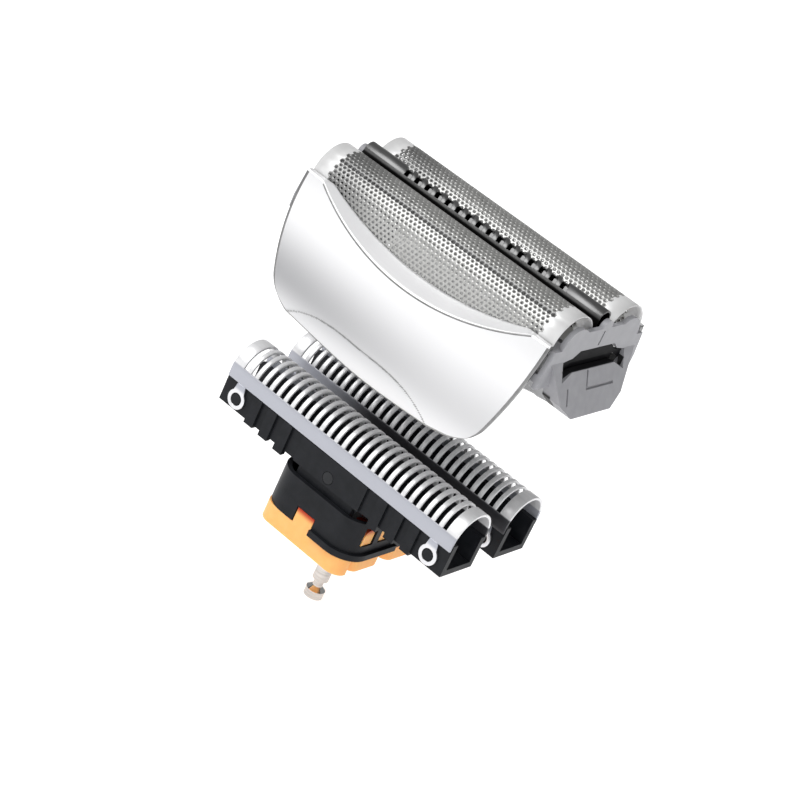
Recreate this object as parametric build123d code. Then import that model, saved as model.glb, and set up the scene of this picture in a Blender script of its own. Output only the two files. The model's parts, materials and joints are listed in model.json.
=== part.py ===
from build123d import *
import math
import os

# Foil head of an electric shaver: a cutter block with two floating cutters, and above it, lifted
# straight off, the cassette with two foils and a trimmer.
# Millimetres, +Z up, +X along the head, -Y is the front.
# The origin is the centre of the drive pin's lower end.

# Driving dimensions: cutter block
plate_height = 22.0        # lower edge of the cutters' plain strip, above the pin's end
cutter_length = 36.3
cutter_pitch = 10.9        # between the centre lines of the two cutters
cutter_radius = 3.5        # outside of the arch, and half the cutter's width
cutter_wall = 0.35
cutter_leg = 1.0           # straight leg below the arch
strip_height = 1.9         # plain strip below the slots
slot_count = 28
slot_pitch = 1.2
slot_width = 0.55
arch_facets = 6            # flats that stand for one cutter's arch
eyelet_spacing = 31.6
eyelet_drop = 2.0
eyelet_radius = 1.35
eyelet_hole = 0.8
eyelet_facets = 8
float_travel = 1.0         # how far a cutter can be pressed down

carrier_length = 36.5
carrier_depth = 3.5        # below the strip's lower edge
carrier_rise = 0.8         # above the strip's lower edge, inside the cutter
carrier_wall = 0.8
rib_width = 1.4
rib_rows = ((7.8, 4.1), (10.4, 3.9), (12.9, 3.75))   # distance from the middle, depth below the strip
skirt_half_length = 4.4
panel_half_length = 5.3     # raised panel above the skirt
panel_depth = 3.5
skirt_depth = 6.5
skirt_wall = 0.9
skirt_recess = 0.4         # behind the face of the raised panel
stud_clearance = 0.06

guide_pin_radius = 0.75
guide_pin_drop = 2.45      # below the strip's lower edge
guide_pin_facets = 16
guide_clearance = 0.1
pin_end_gap = 0.3          # from a guide pin's inner end to the middle
upright_half_length = 3.6
upright_half_width = 1.2

collar_half_length = 7.0
collar_half_width = 9.35
collar_corner = 3.2
collar_top = 4.7           # below the strip's lower edge
collar_bottom = 9.8
collar_wall = 0.65
collar_floor = 0.9
collar_skirt = 1.0         # rim below the floor, round the coupling
flange_proud = 0.45
flange_height = 0.8
notch_center = -0.4
notch_width = 2.9
notch_height = 2.1
window_width = 2.2
window_height = 2.6
window_rows = (-6.3, -3.1)  # places along the collar's side

platform_half_length = 4.5
platform_half_width = 7.55
spring_height = 2.2        # between the platform and a carrier that is pressed right down
spring_width = 3.0
spring_sheet = 0.25
spring_facets = 8
spring_half_length = 4.2

coupling_half_length = 6.6
coupling_half_width = 9.25
coupling_corner = 1.8
coupling_height = 2.4
lobe_depth = 1.2           # how far the lobes stand out from the coupling's core
lobe_length = 6.0          # of the two middle lobes on each side
lobe_corner = 1.4
lobe_gap = 0.9
spigot_half_length = 6.1
boss_radius = 2.7
boss_height = 3.5
coupling_clearance = 0.12
post_radius = 0.95
post_facets = 10
post_height = 2.3           # above the collar's floor

pin_radius = 1.05
pin_waist_radius = 0.65
pin_head_radius = 1.25
pin_head_height = 1.3
pin_waist_height = 1.0
pin_chamfer = 0.25
pin_seat = 2.7             # length held inside the coupling

# Driving dimensions: foil cassette, shown lifted
lift = 26.8                # how far the cassette stands above its seat on the cutters
foil_gap = 0.15            # between a cutter and its foil when seated
foil_sheet = 0.12
foil_facets = 9
foil_half_length = 18.35
foil_outer_leg = 4.2
foil_inner_leg = 1.6
foil_hole_columns = 12
foil_hole_length = 1.2
foil_hole_height = 0.5
foil_hole_facets = (2, 4, 6)

foil_end_gap = 0.1         # from a foil's end to the cassette's end plate
end_plate_wall = 0.6
shoulder_half_width = 9.85
shoulder_top_half_width = 9.25
shoulder_drop = 4.7        # below the foils' centre height
cap_top_drop = 1.6         # where the end cap's flare starts, below the foils' centre height
cap_bottom_drop = 7.7
cap_top_half_width = 8.75
cap_bottom_half_width = 4.2
cap_corner_half_width = 6.4
cap_corner_rise = 1.5      # above the cap's bottom
cap_slope = 0.46           # sideways run for each unit of fall
cap_wall = 0.8
# Panel lines on an end cap: from and to across, from and to in height against the foils' centre
cap_lines = (((-1.3, -1.0), (-4.8, -3.0)), ((-1.3, 4.5), (-5.1, -4.8)), ((-0.4, -0.1), (-0.3, 1.6)),
             ((-5.3, -5.0), (-6.3, -4.5)))
line_depth = 0.25
hump_drop = 1.3            # end plates' humps below the foils' top
dip_rise = 1.9             # end plate between the foils, above their centre height
crest_radius = 0.95
rail_wall = 0.55
rail_height = 1.0
rail_clearance = 0.2       # below the covers' lip

trimmer_half_width = 1.25
trimmer_wall = 0.22
trimmer_end_gap = 0.25     # from the trimmer's end to the end plate
trimmer_drop = 0.1         # trimmer's top below the foils' top
trimmer_facets = 5
trimmer_slot_count = 16
trimmer_slot_pitch = 1.6
trimmer_slot_width = 0.75
trimmer_slot_depth = 1.3
trimmer_leg_bottom = 0.3   # above the foils' centre height
blade_gap = 0.11
blade_wall = 0.2
blade_end_gap = 0.3        # from the blade to the comb's end, at the end of its stroke
blade_facets = 3
blade_stroke = 1.0
bridge_rail_height = 0.8
bridge_gap = 0.1            # between the bridge's upright neck or band and the end plates' inner face
bridge_depth = 0.35
bridge_neck = 0.75          # length of the neck, inside the end plates
shade_half_width = 4.9      # plate behind the cap's wall, below the band
shade_wall = 0.25
shade_set_in = 0.05         # inwards from the end plates' inner face
shade_lap = 0.3             # upwards, behind the band
shade_drop = 4.4            # below the foils' centre height
bridge_half_width = 6.3
bridge_shoulder = 4.5
bridge_crown = 3.4
bridge_crown_drop = 0.8    # below the foils' centre height
bridge_band = 1.3
bridge_shoulder_drop = 0.8
bridge_wing_drop = 1.1
bridge_wing = 1.1
bridge_clearance = 0.2
trimmer_travel = 0.6
trimmer_post_length = 7.45  # inwards from the end plate
trimmer_post_half_width = 1.15
trimmer_post_top = 4.0     # below the foils' centre height
trimmer_post_height = 1.9
trimmer_pad_gap = 1.15     # from the pad to the end plate
trimmer_pad_top = 2.4      # below the foils' centre height
trimmer_spring_set_in = 0.6  # from the post's inner end
trimmer_spring_margin = 0.1  # from the pad's outer end
trimmer_spring_width = 1.4

cover_wall = 0.6
cover_clearance = 0.08
cover_end_lap = 0.15       # past the foil's end
cover_shoulder_set_in = 0.75  # half way down, from the cover's top end
cover_bottom_set_in = 3.1  # at the lower edge, from the cover's top end
cover_corner = 3.0
# Height against the foils' centre, and distance of the outer face from the middle, at the cover's centre
cover_rows = ((0.6, 10.8), (-3.2, 11.6), (-6.7, 12.1), (-10.2, 12.25), (-13.6, 12.1), (-17.0, 11.7))
cover_plan_radius = 200.0
cover_bottom_edge = 14.3   # at the ends, below the foils' centre height
cover_bottom_crown = 16.2  # in the middle
smile_radius = 46.0
smile_tilt = 28.0          # degrees that the cut-out's lip falls towards the front
smile_depth = 2.2          # below the foils' centre height, at the foil
lip_reach = 4.0            # behind the cover's face, more than the lip needs

# Places that follow from the sizes above
foil_inner_radius = cutter_radius + foil_gap
foil_outer_radius = foil_inner_radius + foil_sheet
foil_center_height = plate_height + cutter_leg + lift
hump_radius = foil_outer_radius - hump_drop
half_pitch = cutter_pitch / 2
collar_top_height = plate_height - collar_top
collar_bottom_height = plate_height - collar_bottom
floor_bottom_height = collar_bottom_height + collar_skirt
floor_top_height = floor_bottom_height + collar_floor
window_top_height = floor_top_height + window_height
coupling_bottom_height = collar_bottom_height - coupling_height
post_place = collar_half_length - collar_wall - post_radius - coupling_clearance
platform_height = plate_height - carrier_depth - float_travel - spring_height
carrier_floor_height = plate_height - carrier_depth
carrier_half_width = cutter_radius - cutter_wall
end_plate_inside = foil_half_length + foil_end_gap
bridge_neck_outside = end_plate_inside - bridge_gap
bridge_neck_inside = bridge_neck_outside - bridge_neck
bridge_plate_inside = end_plate_inside + bridge_gap
bridge_plate_outside = bridge_plate_inside + bridge_depth
lip_height = cover_wall / math.cos(math.radians(smile_tilt))
rail_top_height = foil_center_height - smile_depth - lip_height - rail_clearance
foil_face = half_pitch + foil_outer_radius + cover_clearance
trimmer_top_height = foil_center_height + foil_outer_radius - trimmer_drop
comb_bottom_height = foil_center_height + trimmer_leg_bottom
trimmer_half_length = end_plate_inside - trimmer_end_gap
blade_half_length = trimmer_half_length - blade_stroke - blade_end_gap
trimmer_post_start = end_plate_inside - trimmer_post_length
trimmer_pad_end = end_plate_inside - trimmer_pad_gap
trimmer_spring_start = trimmer_post_start + trimmer_spring_set_in
trimmer_spring_end = trimmer_pad_end - trimmer_spring_margin
cover_half_length = foil_half_length + cover_end_lap
cover_shoulder_half_length = cover_half_length - cover_shoulder_set_in
cover_bottom_half_length = cover_half_length - cover_bottom_set_in
FAR = 60.0                 # longer than anything it has to cut


def arch(radius, center_height, facets):
    """Points of an arch from the front to the rear, as flats."""
    points = []
    for step in range(facets + 1):
        angle = math.pi * (1 - step / facets)
        points.append((radius * math.cos(angle), center_height + radius * math.sin(angle)))
    return points


def prism_x(points, start, end):
    """A YZ outline drawn out along X."""
    face = make_face(Polyline(*[(start, y, z) for y, z in points], close=True))
    return extrude(face, amount=end - start, dir=(1, 0, 0))


def prism_y(points, start, end):
    """An XZ outline drawn out along Y."""
    face = make_face(Polyline(*[(x, start, z) for x, z in points], close=True))
    return extrude(face, amount=end - start, dir=(0, 1, 0))


def block(x_range, y_range, z_range):
    """A box between three pairs of limits."""
    size = [high - low for low, high in (x_range, y_range, z_range)]
    center = [(high + low) / 2 for low, high in (x_range, y_range, z_range)]
    return Pos(*center) * Box(*size)


def channel(radius, wall, leg_bottom, center_height, facets, half_length):
    """A sheet bent into an upside-down channel with an arched top."""
    inner = radius - wall
    outline = [(-radius, leg_bottom)] + arch(radius, center_height, facets) + [(radius, leg_bottom)]
    outline += [(inner, leg_bottom)] + arch(inner, center_height, facets)[::-1] + [(-inner, leg_bottom)]
    return prism_x(outline, -half_length, half_length)


def cross_slots(count, pitch, width, bottom, top, half_width):
    """Slots across a channel, evenly spaced about the middle."""
    slots = []
    for index in range(count):
        x = (index - (count - 1) / 2) * pitch
        slots.append(block((x - width / 2, x + width / 2), (-half_width, half_width), (bottom, top)))
    return slots


def leaf_spring(x_range, width, base_height, crown_height):
    """A strip bowed upwards in flats, with both ends on the base."""
    low, high = x_range
    rise = crown_height - base_height - spring_sheet
    under = []
    for step in range(spring_facets + 1):
        part = step / spring_facets
        under.append((low + (high - low) * part, base_height + rise * 4 * part * (1 - part)))
    over = [(x, z + spring_sheet) for x, z in under[::-1]]
    return prism_y(under + over, -width / 2, width / 2)


def to_side(piece, side):
    """Put a piece drawn about a cutter's centre line at the front (-1) or the rear (1)."""
    if side > 0:
        piece = mirror(piece, about=Plane.XZ)
    return Pos(0, side * half_pitch, plate_height) * piece


# Cutter block

def make_cutter():
    """Slotted steel arch with two eyelets on the -Y side, strip edge at z = 0."""
    cutter = channel(cutter_radius, cutter_wall, 0, cutter_leg, arch_facets, cutter_length / 2)
    top = cutter_leg + cutter_radius + 1
    cutter -= cross_slots(slot_count, slot_pitch, slot_width, strip_height, top, cutter_radius + 1)
    eyelet = RegularPolygon(eyelet_radius, eyelet_facets)
    eyelet += Pos(0, eyelet_drop / 2) * Rectangle(eyelet_radius, eyelet_drop)
    eyelet -= RegularPolygon(eyelet_hole, eyelet_facets)
    for x in (-eyelet_spacing / 2, eyelet_spacing / 2):
        place = Plane(origin=(x, -cutter_radius, -eyelet_drop), x_dir=(1, 0, 0), z_dir=(0, -1, 0))
        cutter += extrude(place * eyelet, amount=-cutter_wall)
    return cutter


def make_carrier():
    """Channel that carries a cutter, with its ribs and skirt on the -Y side, strip edge at z = 0."""
    half = carrier_length / 2
    inner = carrier_half_width - carrier_wall
    floor = -carrier_depth + carrier_wall
    outline = [(-carrier_half_width, -carrier_depth), (carrier_half_width, -carrier_depth),
               (carrier_half_width, carrier_rise), (inner, carrier_rise), (inner, floor),
               (-inner, floor), (-inner, carrier_rise), (-carrier_half_width, carrier_rise)]
    carrier = prism_x(outline, -half, half)
    face = -carrier_half_width
    proud = (-cutter_radius, face + carrier_wall / 2)
    for place, depth in rib_rows:
        for x in (-place, place):
            carrier += block((x - rib_width / 2, x + rib_width / 2), proud, (-depth, -stud_clearance))
    carrier += block((-panel_half_length, panel_half_length), proud, (-panel_depth, -stud_clearance))
    skirt_face = -cutter_radius + skirt_recess
    carrier += block((-skirt_half_length, skirt_half_length), (skirt_face, skirt_face + skirt_wall),
                     (-skirt_depth, -stud_clearance))
    stud = RegularPolygon(eyelet_hole - stud_clearance, eyelet_facets)
    for x in (-eyelet_spacing / 2, eyelet_spacing / 2):
        place = Plane(origin=(x, -cutter_radius, -eyelet_drop), x_dir=(1, 0, 0), z_dir=(0, -1, 0))
        carrier += extrude(place * stud, amount=-(cutter_radius - inner))
    return carrier - cross_pin(guide_pin_radius + stud_clearance, -FAR, FAR)


def cross_pin(radius, start, end):
    """Round bar along Y at the guide pin's height."""
    plan = Plane(origin=(0, start, -guide_pin_drop), x_dir=(1, 0, 0), z_dir=(0, 1, 0))
    return extrude(plan * RegularPolygon(radius, guide_pin_facets), amount=end - start)


def make_guide_pin():
    """Cross pin from the skirt's face into the upright."""
    return cross_pin(guide_pin_radius, -cutter_radius, half_pitch - pin_end_gap)


def make_cutter_spring(side):
    """Leaf spring between the collar's platform and a carrier's floor."""
    spring = leaf_spring((-spring_half_length, spring_half_length), spring_width, platform_height,
                         carrier_floor_height)
    return Pos(0, side * half_pitch, 0) * spring


def collar_plan(inset):
    """Rounded outline of the collar, smaller by an inset."""
    length = 2 * (collar_half_length - inset)
    width = 2 * (collar_half_width - inset)
    return RectangleRounded(length, width, collar_corner - inset)


def make_collar():
    """Cup with a floor, the platform for the springs and the upright for the guide pins."""
    height = collar_top_height - collar_bottom_height
    cup = Pos(0, 0, collar_bottom_height) * extrude(collar_plan(0), amount=height)
    hollow = Pos(0, 0, floor_top_height) * extrude(collar_plan(collar_wall), amount=height)
    spigot = spigot_half_length + coupling_clearance
    cup -= hollow
    cup -= block((-spigot, spigot), (-spigot, spigot), (collar_bottom_height, floor_bottom_height))
    cup += block((-platform_half_length, platform_half_length), (-platform_half_width, platform_half_width),
                 (floor_bottom_height, platform_height))
    pin_height = plate_height - guide_pin_drop
    slot_half = guide_pin_radius + guide_clearance
    slot_low = pin_height - float_travel - slot_half
    slot_high = pin_height + slot_half
    upright_top = slot_high + carrier_wall - guide_clearance
    cup += block((-upright_half_length, upright_half_length), (-upright_half_width, upright_half_width),
                 (platform_height, upright_top))
    cup -= block((-slot_half, slot_half), (-platform_half_width, platform_half_width), (slot_low, slot_high))
    flange = extrude(collar_plan(-flange_proud) - collar_plan(collar_wall / 2), amount=flange_height)
    for side in (-1, 1):
        reach = sorted((-side * (notch_center + notch_width / 2), -side * FAR))
        corner = block(reach, sorted((0, side * FAR)), (0, plate_height))
        cup += Pos(0, 0, collar_bottom_height) * flange & corner
        x = -side * notch_center
        wall = (side * (collar_half_width - 2 * collar_wall), side * (collar_half_width + collar_wall))
        cup -= block((x - notch_width / 2, x + notch_width / 2), (min(wall), max(wall)),
                     (collar_bottom_height - 1, collar_bottom_height + notch_height))
        for row in window_rows:
            y = -side * row
            wall_x = sorted((-side * post_place, -side * (collar_half_length + collar_wall)))
            cup -= block(wall_x, (y - window_width / 2, y + window_width / 2),
                         (floor_top_height, window_top_height))
            hole = extrude(RegularPolygon(post_radius + coupling_clearance, post_facets), amount=-FAR)
            cup -= Pos(-side * post_place, y, window_top_height) * hole
    return cup


def coupling_plan():
    """Outline of the coupling: a narrow core with four rounded lobes on each side."""
    core = Rectangle(2 * (coupling_half_length - lobe_depth), 2 * coupling_half_width - lobe_gap)
    middle_lobe = RectangleRounded(2 * coupling_half_length, lobe_length, lobe_corner)
    end_start = lobe_gap / 2 + lobe_length + lobe_gap
    end_width = coupling_half_width - end_start
    end_lobe = Rectangle(2 * coupling_half_length, end_width)
    plan = core
    for side in (-1, 1):
        plan += Pos(0, side * (lobe_length + lobe_gap) / 2) * middle_lobe
        plan += Pos(0, side * (end_start + end_width / 2)) * end_lobe
    return plan & RectangleRounded(2 * coupling_half_length, 2 * coupling_half_width, coupling_corner)


def make_coupling():
    """Lobed plate under the collar, with a boss for the pin, two tabs and the posts in the windows."""
    bottom = coupling_bottom_height
    coupling = Pos(0, 0, bottom) * extrude(coupling_plan(), amount=coupling_height)
    spigot = (-spigot_half_length, spigot_half_length)
    coupling += block(spigot, spigot, (collar_bottom_height, floor_bottom_height))
    coupling += Pos(0, 0, bottom - boss_height) * extrude(Circle(boss_radius), amount=boss_height)
    post_length = floor_top_height + post_height - collar_bottom_height
    tab_half_width = notch_width / 2 - coupling_clearance
    tab_top = collar_bottom_height + notch_height - coupling_clearance
    for side in (-1, 1):
        x = -side * notch_center
        tab_back = collar_half_width - 2 * collar_wall + coupling_clearance
        tab = sorted((side * tab_back, side * coupling_half_width))
        coupling += block((x - tab_half_width, x + tab_half_width), tab, (collar_bottom_height, tab_top))
        for row in window_rows:
            post = extrude(RegularPolygon(post_radius, post_facets), amount=post_length)
            coupling += Pos(-side * post_place, -side * row, collar_bottom_height) * post
    bore = extrude(Circle(pin_radius), amount=boss_height + pin_seat)
    return coupling - Pos(0, 0, bottom - boss_height) * bore


def make_pin():
    """Turned drive pin: head, waist and shaft, from its free end upwards."""
    top = coupling_bottom_height + pin_seat
    waist_top = pin_head_height + pin_waist_height
    outline = [(0, 0), (pin_head_radius, 0),
               (pin_head_radius, pin_head_height - pin_chamfer),
               (pin_waist_radius, pin_head_height + pin_chamfer), (pin_waist_radius, waist_top),
               (pin_radius, waist_top + pin_chamfer), (pin_radius, top), (0, top)]
    face = make_face(Polyline(*[(x, 0, z) for x, z in outline], close=True))
    return revolve(face, axis=Axis.Z)


# Foil cassette

def make_foil(side):
    """Arched sheet with rows of holes, a long leg on the outside and a short one beside the trimmer."""
    inner = foil_inner_radius
    outer = foil_outer_radius
    center = foil_center_height
    outer_leg = (-outer, center - foil_outer_leg)
    inner_leg = (outer, center - foil_inner_leg)
    outline = [outer_leg] + arch(outer, center, foil_facets) + [inner_leg, (inner, inner_leg[1])]
    outline += arch(inner, center, foil_facets)[::-1] + [(-inner, outer_leg[1])]
    foil = prism_x(outline, -foil_half_length, foil_half_length)
    pitch = 2 * (foil_half_length - foil_hole_length) / foil_hole_columns
    cuts = []
    for facet in foil_hole_facets:
        angle = 180 * (facet + 0.5) / foil_facets
        tilt = Pos(0, 0, center) * Rot(90 - angle, 0, 0)
        for column in range(foil_hole_columns):
            x = (column - (foil_hole_columns - 1) / 2) * pitch
            cuts.append(tilt * Pos(x, 0, outer) * Box(foil_hole_length, foil_hole_height, 1))
    foil -= cuts
    if side > 0:
        foil = mirror(foil, about=Plane.XZ)
    return Pos(0, side * half_pitch, 0) * foil


def bridge_outline(grow, fall):
    """Half-arched band seen in an end cap's window, grown all round and stretched downwards."""
    crown = foil_center_height - bridge_crown_drop + grow
    under = crown - 2 * grow - bridge_band - fall
    wing_top = crown - bridge_wing_drop
    wing_low = wing_top - 2 * grow - bridge_wing - fall
    half = bridge_half_width + grow
    right = [(bridge_crown + grow, crown), (bridge_shoulder + grow, crown - bridge_shoulder_drop),
             (half, wing_top), (half, wing_low), (bridge_shoulder, under)]
    left = [(-y, z) for y, z in right[::-1]]
    return right + left


def cap_outer_face(height):
    """Distance from the middle to the end plate's face, and below it to the cap's flaring face."""
    fall = max(0, foil_center_height - cap_top_drop - height)
    return end_plate_inside + end_plate_wall + cap_slope * fall


def cap_inner_face(height):
    """Distance from the middle to the inner face of the cap's flaring wall."""
    return cap_outer_face(height) - cap_wall * math.hypot(1, cap_slope)


def cap_line(y_range, rise_range):
    """Groove along a cap's outer face."""
    low, high = [foil_center_height + rise for rise in rise_range]
    outer = [(cap_outer_face(z) + line_depth, z) for z in (high, low)]
    inner = [(cap_outer_face(z) - line_depth, z) for z in (low, high)]
    return prism_y(outer + inner, *y_range)


def end_plate_outline():
    """Points of the end plate below the humps."""
    shoulder_low = foil_center_height - shoulder_drop
    return [(-shoulder_half_width, shoulder_low), (shoulder_half_width, shoulder_low),
            (shoulder_half_width, rail_top_height), (shoulder_top_half_width, foil_center_height),
            (-shoulder_top_half_width, foil_center_height), (-shoulder_half_width, rail_top_height)]


def make_end(side):
    """One end of the cassette: upright plate with humps, and the hollow cap that flares out below it."""
    inside = end_plate_inside
    outside = inside + end_plate_wall
    center = foil_center_height
    end = prism_x(end_plate_outline(), inside, outside)
    for y in (-half_pitch, half_pitch):
        hump = Pos(inside, y, center) * extrude(Plane.YZ * Circle(hump_radius), amount=end_plate_wall)
        end += hump
    end += block((inside, outside), (-half_pitch, half_pitch), (center, center + dip_rise))
    crest = extrude(Plane.YZ * Circle(crest_radius), amount=end_plate_wall)
    end += Pos(inside, 0, center + dip_rise) * crest
    cap_top = center - cap_top_drop
    cap_low = center - cap_bottom_drop
    reach = cap_outer_face(cap_low)
    wedge = prism_y([(inside, cap_low), (reach, cap_low), (outside, cap_top), (inside, cap_top)], -FAR, FAR)
    right = [(cap_bottom_half_width, cap_low), (cap_corner_half_width, cap_low + cap_corner_rise),
             (cap_top_half_width, cap_top)]
    frame = right + [(-y, z) for y, z in right[::-1]]
    end += wedge & prism_x(frame, inside, inside + FAR)
    hollow_top = cap_top - cap_wall
    hollow_low = cap_low + cap_wall
    hollow = prism_y([(inside - 1, hollow_low), (cap_inner_face(hollow_low), hollow_low),
                      (cap_inner_face(hollow_top), hollow_top), (inside - 1, hollow_top)], -FAR, FAR)
    right = [(cap_bottom_half_width - cap_wall / 2, hollow_low),
             (cap_corner_half_width - cap_wall, cap_low + cap_corner_rise + cap_wall / 2),
             (cap_top_half_width - cap_wall, hollow_top)]
    narrow = right + [(-y, z) for y, z in right[::-1]]
    end -= hollow & prism_x(narrow, inside - 1, inside + FAR)
    end -= prism_x(bridge_outline(bridge_clearance, trimmer_travel), inside - 1, inside + FAR)
    post_top = center - trimmer_post_top
    post_low = post_top - trimmer_post_height
    post_end = cap_outer_face(post_top) - cap_wall / 2
    end += block((trimmer_post_start, post_end), (-trimmer_post_half_width, trimmer_post_half_width),
                 (post_low, post_top))
    end += block((trimmer_post_start, trimmer_pad_end), (-trimmer_post_half_width, trimmer_post_half_width),
                 (post_low, center - trimmer_pad_top))
    end -= [cap_line(y_range, rise_range) for y_range, rise_range in cap_lines]
    if side < 0:
        end = mirror(end, about=Plane.YZ)
    return end


def make_holder():
    """Both ends joined by a rail along the outside of each foil."""
    holder = make_end(-1) + make_end(1)
    for side in (-1, 1):
        limits = sorted((side * foil_face, side * (foil_face + rail_wall)))
        rail_end = end_plate_inside + end_plate_wall / 2
        holder += block((-rail_end, rail_end), limits, (rail_top_height - rail_height, rail_top_height))
    return holder


def cover_bulge(depth):
    """Crowned wall of the cover: a bowed upright strip swung about a far upright axis."""
    outer = [(0, -y, foil_center_height + rise) for rise, y in cover_rows]
    inner = [(x, y + depth, z) for x, y, z in outer[::-1]]
    face = make_face(Polyline(*outer, *inner, close=True))
    crown = max(y for rise, y in cover_rows)
    axis = Axis((0, cover_plan_radius - crown, 0), (0, 0, 1))
    half_turn = math.degrees(math.asin((cover_half_length + 1) / cover_plan_radius))
    return revolve(face.rotate(axis, -half_turn), axis=axis, revolution_arc=2 * half_turn)


def smile(radius):
    """Slanting cylinder that makes the curved cut-out."""
    lowest = foil_center_height - smile_depth
    height = lowest + smile_radius / math.cos(math.radians(smile_tilt))
    return Pos(0, -foil_face, height) * Cylinder(radius, 4 * smile_radius, rotation=(90 + smile_tilt, 0, 0))


def cover_outline():
    """Front view of the cover, drawn out along Y."""
    top = foil_center_height + cover_rows[0][0]
    corner = foil_center_height - cover_bottom_edge
    crown = foil_center_height - cover_bottom_crown
    middle = (top + corner) / 2
    right = ThreePointArc((cover_half_length, 0, top), (cover_shoulder_half_length, 0, middle),
                          (cover_bottom_half_length, 0, corner))
    bottom = ThreePointArc(right @ 1, (0, 0, crown), (-cover_bottom_half_length, 0, corner))
    left = ThreePointArc(bottom @ 1, (-cover_shoulder_half_length, 0, middle), (-cover_half_length, 0, top))
    face = make_face([right, bottom, left, Line(left @ 1, right @ 0)])
    solid = extrude(face, amount=FAR, dir=(0, -1, 0))
    corners = [edge for edge in solid.edges().filter_by(Axis.Y) if edge.center().Z < middle]
    return fillet(corners, cover_corner)


def make_cover(side):
    """Bulged shell with the curved cut-out and its slanting lip."""
    outline = cover_outline()
    sheet = cover_bulge(cover_wall) - smile(smile_radius)
    in_front = block((-FAR, FAR), (-FAR, -foil_face), (0, FAR))
    lip = (smile(smile_radius + cover_wall) - smile(smile_radius)) & cover_bulge(lip_reach) & in_front
    cover = (sheet + lip) & outline
    if side > 0:
        cover = mirror(cover, about=Plane.XZ)
    return cover


def make_bridge():
    """Rail under the trimmer, with a neck at each end down to an arched band and the plate behind it."""
    rail_low = comb_bottom_height - bridge_rail_height
    across = (-trimmer_half_width, trimmer_half_width)
    band_top = foil_center_height - bridge_crown_drop
    band_low = band_top - bridge_band
    shade_low = foil_center_height - shade_drop
    post_reach = trimmer_post_half_width + bridge_clearance
    post_limit = foil_center_height - trimmer_post_top + trimmer_travel + bridge_clearance
    bridge = block((-bridge_neck_outside, bridge_neck_outside), across, (rail_low, comb_bottom_height))
    shade_inside = end_plate_inside - shade_set_in
    shade = block((shade_inside, shade_inside + shade_wall), (-shade_half_width, shade_half_width),
                  (shade_low, band_low + shade_lap))
    shade -= block((0, FAR), (-post_reach, post_reach), (0, post_limit))
    end = prism_x(bridge_outline(0, 0), bridge_plate_inside, bridge_plate_outside) + shade
    end += block((bridge_neck_inside, bridge_neck_outside), across, (band_low, comb_bottom_height))
    end += block((bridge_neck_inside, bridge_plate_inside), across, (band_low, band_top))
    return bridge + end + mirror(end, about=Plane.YZ)


def make_comb():
    """Slotted outer channel of the trimmer."""
    center = trimmer_top_height - trimmer_half_width
    comb = channel(trimmer_half_width, trimmer_wall, comb_bottom_height, center, trimmer_facets,
                   trimmer_half_length)
    bottom = trimmer_top_height - trimmer_slot_depth
    return comb - cross_slots(trimmer_slot_count, trimmer_slot_pitch, trimmer_slot_width, bottom,
                              trimmer_top_height + 1, trimmer_half_width + 1)


def make_blade():
    """Slotted inner channel that moves along the comb."""
    radius = trimmer_half_width - trimmer_wall - blade_gap
    center = trimmer_top_height - trimmer_half_width
    blade = channel(radius, blade_wall, comb_bottom_height + blade_gap, center, blade_facets,
                    blade_half_length)
    bottom = trimmer_top_height - trimmer_slot_depth
    return blade - cross_slots(trimmer_slot_count, trimmer_slot_pitch, trimmer_slot_width, bottom,
                               trimmer_top_height + 1, trimmer_half_width + 1)


def make_trimmer_spring(side):
    """Leaf spring between a post of the holder and the bridge's rail."""
    limits = sorted((side * trimmer_spring_start, side * trimmer_spring_end))
    base = foil_center_height - trimmer_pad_top
    return leaf_spring(limits, trimmer_spring_width, base, comb_bottom_height - bridge_rail_height)


def make_nodes():
    """Every piece by name, where it stands at rest."""
    nodes = {"drive_pin": make_pin(), "drive_coupling": make_coupling(), "base_collar": make_collar()}
    for name, side in (("front", -1), ("rear", 1)):
        nodes[name + "_carrier"] = to_side(make_carrier(), side)
        nodes[name + "_cutter"] = to_side(make_cutter(), side)
        nodes[name + "_guide_pin"] = to_side(make_guide_pin(), side)
        nodes[name + "_spring"] = make_cutter_spring(side)
        nodes[name + "_foil"] = make_foil(side)
        nodes[name + "_cover"] = make_cover(side)
    nodes["foil_holder"] = make_holder()
    nodes["trimmer_bridge"] = make_bridge()
    nodes["trimmer_comb"] = make_comb()
    nodes["trimmer_blade"] = make_blade()
    nodes["left_trimmer_spring"] = make_trimmer_spring(-1)
    nodes["right_trimmer_spring"] = make_trimmer_spring(1)
    return nodes


os.makedirs("parts", exist_ok=True)
for node_name, node in make_nodes().items():
    export_step(node, "parts/" + node_name + ".step")
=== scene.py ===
import json
import math
import bpy
from mathutils import Matrix, Vector


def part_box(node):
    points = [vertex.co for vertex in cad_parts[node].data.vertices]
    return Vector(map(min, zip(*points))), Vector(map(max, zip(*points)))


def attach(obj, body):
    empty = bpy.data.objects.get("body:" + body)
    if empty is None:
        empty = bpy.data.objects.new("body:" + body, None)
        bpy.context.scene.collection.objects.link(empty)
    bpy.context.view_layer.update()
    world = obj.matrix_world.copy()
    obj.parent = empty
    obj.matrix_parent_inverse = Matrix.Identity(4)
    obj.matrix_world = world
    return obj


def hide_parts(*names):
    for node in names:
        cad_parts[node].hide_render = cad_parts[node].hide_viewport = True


# Shaver foil head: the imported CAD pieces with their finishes, and finer sheets in place of the plain ones.
# Metres, +Z up, +X along the head, -Y is the front.

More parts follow.
